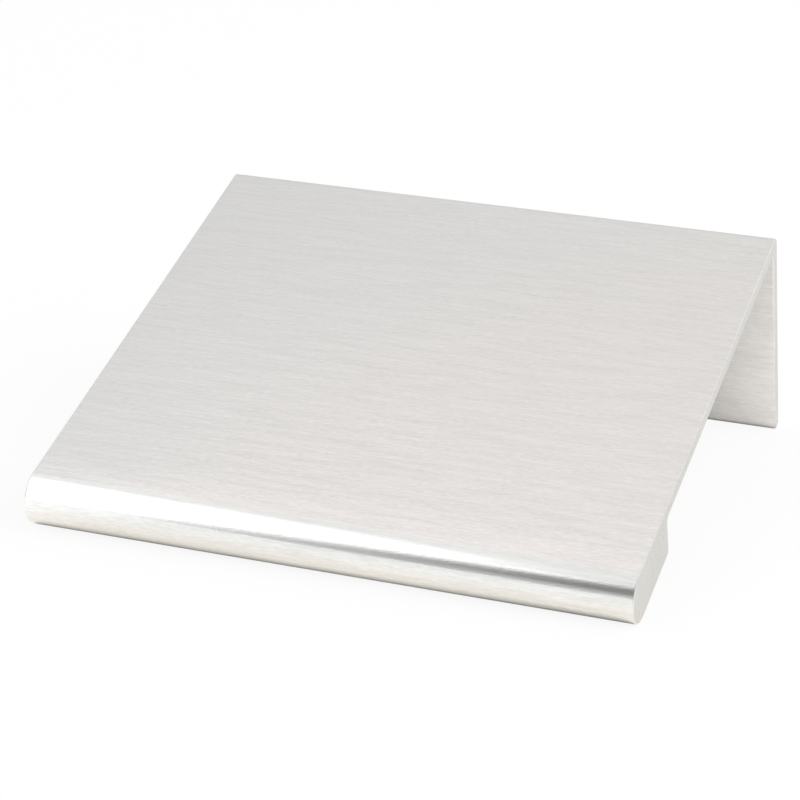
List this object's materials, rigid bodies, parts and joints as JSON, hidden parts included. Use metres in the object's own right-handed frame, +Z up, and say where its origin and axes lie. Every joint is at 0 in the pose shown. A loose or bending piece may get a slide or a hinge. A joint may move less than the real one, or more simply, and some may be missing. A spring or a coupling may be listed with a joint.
{
  "type": "handleless finger pull profile",
  "caption": "Edge-mounted finger pull cut from aluminium profile: flat plate, rear screw leg and a rounded front lip to hook fingers behind.",
  "frame": {"origin": "under the middle of the bounding box, on the floor that the piece rests on", "axes": "+X along the length, -Y towards the lip at the front, +Z up; the piece rests on the foot of its leg and the underside of its lip"},
  "size_m": [0.05, 0.0494, 0.0194],
  "materials": {
    "brushed_aluminium": "satin anodised, brushed along the length"
  },
  "bodies": {
    "root": {"finger_pull_profile": "brushed_aluminium"}
  },
  "joints": []
}
